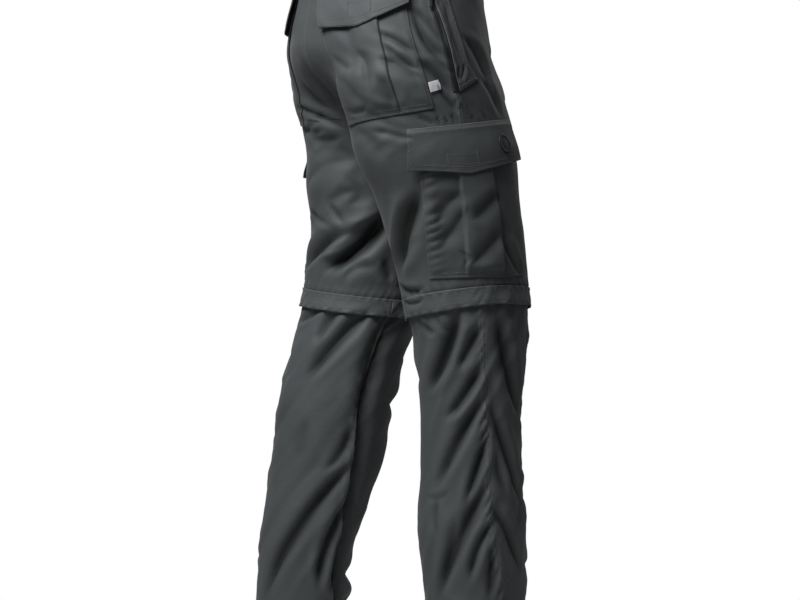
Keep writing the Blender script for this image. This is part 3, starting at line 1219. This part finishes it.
# %% [markdown]
# Rows on the pockets, flaps and welts follow their edges at a distance in millimetres, so each
# patch is measured first. Short dense rows, called bar tacks, lock the corners that a hand pulls
# at, and a box of stitches on each flap holds the hook patch that lies behind it.

# %% Stitch the pockets and flaps
def patch_size(patch):
    middle = np.linspace(0, 1, 60)
    across = patch_points(patch, middle, np.full(60, 0.6))
    down = patch_points(patch, np.full(60, 0.5), middle)
    return (np.linalg.norm(np.diff(across, axis=0), axis=1).sum(),
            np.linalg.norm(np.diff(down, axis=0), axis=1).sum())


def sew_patch(patch, u0, v0, u1, v1, **size):
    """A row from one place of a patch to another, on its outer face."""
    t = np.linspace(0, 1, 160)
    u, v = u0 + (u1 - u0) * t, v0 + (v1 - v0) * t
    sew("pockets", patch_points(patch, u, v, patch.wall + 0.00012), **size)


for name, patch in patches.items():
    width, height = patch_size(patch)
    rows = [(gap / width, gap / height) for gap in (0.0018, 0.0078)]
    if "flap" in name or name.startswith(("back_pocket", "cargo_pocket")):
        for x, y in rows:
            sew_patch(patch, x, 0.02, x, 1 - y)
            sew_patch(patch, 1 - x, 0.02, 1 - x, 1 - y)
            sew_patch(patch, x, 1 - y, 1 - x, 1 - y)
            if "flap" in name:
                sew_patch(patch, x, y, 1 - x, y)
    if "flap" in name:
        u0, v0, u1, v1 = (0.265, 0.66, 0.52, 0.84) if "cargo" in name else (0.32, 0.70, 0.57, 0.88)
        sew_patch(patch, u0, v0, u1, v0)
        sew_patch(patch, u0, v1, u1, v1)
        for u in (u0, u1):
            for shift in (-0.0006 / width, 0.0006 / width):
                sew_patch(patch, u + shift, v0 - 0.03, u + shift, v1 + 0.03, pitch=1.5 * MM, length=1.6 * MM)
    elif "welt" in name:
        for x, _ in rows:
            sew_patch(patch, x + 0.04, 0.02, x + 0.04, 0.98)
            sew_patch(patch, 1 - x, 0.02, 1 - x, 0.98)
        for v in (0.04, 0.965):
            for shift in (-0.004, 0.004):
                sew_patch(patch, 0.05, v + shift, 0.95, v + shift, pitch=1.6 * MM, length=1.7 * MM)
print(sum(len(f) // 20 for _, f in stitched["pockets"]), "stitches on the pockets")

# %% Stitch the waistband and the fly
for side in ("right", "left"):
    turn = ring_turns(side, 500)
    for level in (-0.003, -0.0365):
        sew("trims", cloth(side, turn, level + droop(side, turn, level + 0 * turn), 0.0012 + 0 * turn))
t = np.linspace(0, 1, 300)
for gap in (0.0020, 0.0080):
    level = FLY_TOP + (FLY_BOTTOM + 0.003 - FLY_TOP) * t
    turn, z = fly_places(0.004 + fly_reach(level) - gap, level)
    sew("trims", cloth("left", turn, z, LAY + 0.0005 + CLOTH + 0.0001 + 0 * z))
for group, parts in stitched.items():
    made = joined("stitches_" + group, parts, thread)
    made.data.shade_smooth()
    print(made.name, len(made.data.polygons), "triangles")

# %% [markdown]
# The waist button is a turned disc with a raised rim and a dished face, moulded with four holes
# and sewn on with thread. A disc is a profile carried round a circle: height is a function of the
# radius and, for the holes, of the angle. The badge on the cargo flap is a soft rubber disc with
# a raised rim, and bare, and the label at the seat pocket's edge is a folded ribbon, also bare.

# %% Button, badge and label
def place_of(side, turn, z, lift):
    """A place on the cloth and its own directions: forward round the leg, out, up."""
    p = cloth(side, turn + np.array([-1.5, 1.5, 0, 0, 0]), z + np.array([0, 0, -0.004, 0.004, 0]))
    up = (p[3] - p[2]) / np.linalg.norm(p[3] - p[2])
    ahead = p[1] - p[0]
    ahead = ahead - up * (ahead @ up)
    ahead = ahead / np.linalg.norm(ahead)
    out = np.cross(ahead, up)
    out = out if out @ outward(p[4:5])[0] > 0 else -out
    return p[4] + out * lift, ahead, out, up


def polar_faces(rings, spokes):
    """Quads between rings of equal size, with the last spoke joined to the first."""
    i, j = np.meshgrid(np.arange(rings - 1), np.arange(spokes), indexing="ij")
    k = (j + 1) % spokes
    quads = np.stack([i * spokes + j, i * spokes + k, (i + 1) * spokes + k, (i + 1) * spokes + j], -1)
    return quads.reshape(-1, 4)


def turned(profile, spokes, dents=lambda x, y: 0.0 * x):
    """(radius, height) rows carried round a circle; dents lowers some places."""
    radius, height = np.array(profile).T[:, :, None]
    angle = np.linspace(0, 2 * math.pi, spokes + 1)[:-1]
    x, y = radius * np.cos(angle), radius * np.sin(angle)
    return np.stack([x, height - dents(x, y), y], -1).reshape(-1, 3), polar_faces(len(profile), spokes)


def set_down(shape, place):
    here, ahead, out, up = place
    return here + shape[:, 0:1] * ahead + shape[:, 1:2] * out + shape[:, 2:3] * up


def four_holes(x, y):
    """A dip of 1.2 mm, a millimetre wide, at each corner of a 3 mm square."""
    near = np.hypot(np.abs(x) - 1.5 * MM, np.abs(y) - 1.5 * MM)
    return 1.2 * MM * smooth_step((1.05 * MM - near) / (0.5 * MM))


button_turn = float(turn_of("left", 0.016, middle_y(-0.032, True, 0.016), -0.032))
button_at = place_of("left", button_turn, -0.032, 0.0016)
r = np.concatenate([np.linspace(0.02, 6.0, 26), [6.4, 7.0, 7.6, 8.1, 8.4, 8.5, 8.5, 8.2, 0.02]]) * MM
h = np.concatenate([1.9 + 0 * np.linspace(0, 1, 26), [2.1, 2.5, 2.6, 2.5, 2.2, 1.8, 0.4, 0.0, 0.0]]) * MM
shape, faces = turned(np.stack([r, h], -1), 56, lambda x, y: four_holes(x, y) * (np.hypot(x, y) < 5 * MM)
                      * (np.arange(len(x))[:, None] < 26))
if np.linalg.det(np.array(button_at[1:])) < 0:       # so that the faces look outward on either side
    faces = faces[:, ::-1]
button = mesh_piece("waist_button_turned", set_down(shape, button_at), faces,
                    replaces=["waist_button"])
button.data.materials.append(horn)
knot, across, bar = [], np.linspace(-2, 2, 12), CAPSULE * np.array([4.0, 0.8, 0.9]) * MM
for sign in (1, -1):
    line = np.stack([across * sign, 0 * across + 2.0, across], -1) * MM
    knot.append(repeated(spaced(set_down(line, button_at), 4.0 * MM, 0.7), bar, CAPSULE_FACES))
joined("button_thread", knot, thread)

BADGE_TURN, BADGE_Z, BADGE_RADIUS = 40.0, -0.296, 0.0135
FLAP_ARC, FLAP_TOP, FLAP_DEPTH = 0.00195, -0.2605, 0.056      # metres: of a degree there, and of the flap
r = np.array([0.01, 0.12, 0.24, 0.36, 0.48, 0.58, 0.66, 0.70, 0.74, 0.80, 0.86, 0.92, 0.97, 1.0, 1.0, 0.97])
h = np.array([1.10, 1.10, 1.08, 1.05, 1.02, 1.0, 1.0, 1.0, 1.25, 1.55, 1.65, 1.60, 1.35, 0.9, 0.15, 0.0]) * MM
angle = np.linspace(0, 2 * math.pi, 65)[:-1]
turn = BADGE_TURN + BADGE_RADIUS * r[:, None] * np.cos(angle) / FLAP_ARC
z = BADGE_Z + BADGE_RADIUS * r[:, None] * np.sin(angle)
v = np.clip((FLAP_TOP - z) / FLAP_DEPTH, 0, 1)
layer = LAY + flap_lift(0 * v, v) + CLOTH + 0.0003
points = cloth("right", turn, z, layer + h[:, None]).reshape(-1, 3)
faces = polar_faces(len(r), 64)
flat_part = faces[:64 * 8]
a, b, c = (points[flat_part[:, k]] for k in (0, 1, 3))
if (np.cross(b - a, c - a) * outward(a)).sum() < 0:
    faces = faces[:, ::-1]
badge = mesh_piece("rubber_badge", points, faces, replaces=["flap_badge"])
badge.data.materials.append(rubber)

LABEL = [Rung(-25.0, -0.2155, -13.5, -0.2105), Rung(-24.6, -0.2285, -13.2, -0.2235)]
fold_up = lambda u, v: 0.0005 + 0.0008 * smooth_step((0.55 - u) / 0.5) + 0.0003 * np.sin(3.0 * u + 2.0 * v)
label = Patch("right", LABEL, 0.8 * MM, fold_up, no_drop)
u, v = np.meshgrid(np.linspace(0, 1, 30), np.linspace(0, 1, 30))
shell("woven_label", patch_points(label, u, v), label.wall, "out", "label", satin,
      replaces=["pocket_label"], rests_on=["cloth_front_right"])

# %% [markdown]
# Sliders and pulls stay the solids of the CAD part, because they move: each pull swings on its
# slider. They only get the finish of tumbled nickel here.

# %% The hard zip parts
for node in ("zip_slider_right", "zip_slider_left", "pull_tab_right", "pull_tab_left"):
    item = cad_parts[node]
    item.data.materials.clear()
    item.data.materials.append(nickel)
print("CAD nodes still shown:", [n for n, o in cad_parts.items() if not o.hide_render])

# %% [markdown]
# The studio. A pale round floor lies just under the hems. The key light is a large soft panel
# high behind the wearer and to the photo's left, so the seat and the backs of the legs are lit and
# the fronts fall into shade. A weak panel in front and one beside the left leg open the deepest
# shade, and the white surroundings give a faint light all round. The camera stands behind the
# right hip at the height of the knees' top, four metres off, which is a guess from the outline.

# %% Floor, lights and camera
FLOOR_LEVEL = -1.052
floor_points, floor_faces = turned([(0.001, 0.0), (0.4, 0.0), (0.8, 0.0), (1.0, 0.0)], 96)
floor_points = (floor_points + np.array([0, FLOOR_LEVEL, 0]))[:, [0, 2, 1]]
floor_mesh = bpy.data.meshes.new("floor")
floor_mesh.from_pydata(floor_points.tolist(), [], floor_faces.tolist())
floor = bpy.data.objects.new("floor", floor_mesh)
bpy.context.scene.collection.objects.link(floor)
paint = plain_finish("pale_floor_paint", "#d4d4d4", "#d8d8d8", 0.2, 0.05 * MM, Roughness=0.8)
floor_mesh.materials.append(paint)


def soft_light(name, place, aim, size, power):
    """A square light panel at a place, facing the aim."""
    lamp = bpy.data.lights.new(name, "AREA")
    lamp.size, lamp.energy = size, power
    item = bpy.data.objects.new(name, lamp)
    item.location = place
    item.rotation_euler = (Vector(aim) - Vector(place)).to_track_quat("-Z", "Y").to_euler()
    bpy.context.scene.collection.objects.link(item)


soft_light("key", (-0.48, 1.14, 1.06), (0, 0, -0.08), 0.85, 43)
soft_light("fill", (0.9, -2.6, 0.9), (0, 0, -0.4), 1.6, 10)
soft_light("far_side", (2.6, -0.5, 0.8), (0, 0, -0.5), 1.6, 14)
world = bpy.data.worlds.new("white_studio")
bpy.context.scene.world = world
world.use_nodes = True
world.node_tree.nodes.clear()
make, link = world.node_tree.nodes.new, world.node_tree.links.new
out, ray, mix = (make("ShaderNode" + kind) for kind in ("OutputWorld", "LightPath", "MixShader"))
link(ray.outputs["Is Camera Ray"], mix.inputs[0])
for socket, strength in ((1, 0.075), (2, 1.0)):      # what lights the cloth, and what the camera sees
    white = make("ShaderNodeBackground")
    white.inputs["Color"].default_value = (1, 1, 1, 1)
    white.inputs["Strength"].default_value = strength
    link(white.outputs[0], mix.inputs[socket])
link(mix.outputs[0], out.inputs["Surface"])

EYE_LEVEL, EYE_AWAY, EYE_ASIDE = -0.511, 4.0, 0.0128      # metres
lens = bpy.data.cameras.new("photo_camera")
lens.lens, lens.sensor_width = 126.76, 36
lens.clip_start, lens.clip_end = 0.1, 50
camera = bpy.data.objects.new("photo_camera", lens)
away, right = np.array([-0.8660, 0.5, 0.0]), np.array([-0.5, -0.8660, 0.0])
camera.location = (np.array([0, 0, EYE_LEVEL]) + EYE_AWAY * away + EYE_ASIDE * right).tolist()
camera.rotation_euler = (math.radians(90), 0, math.radians(-120))
bpy.context.scene.collection.objects.link(camera)
bpy.context.scene.camera = camera
bpy.context.scene.view_settings.view_transform = "Standard"

# %% [markdown]
# Last, the dressed trousers are measured against the CAD part, whose size they keep.

# %% Measure and finish
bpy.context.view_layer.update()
meshes = [o.data for o in bpy.context.scene.objects if o.type == "MESH"]
total = sum(len(mesh.loops) - 2 * len(mesh.polygons) for mesh in meshes)
print(total, "triangles before the walls")
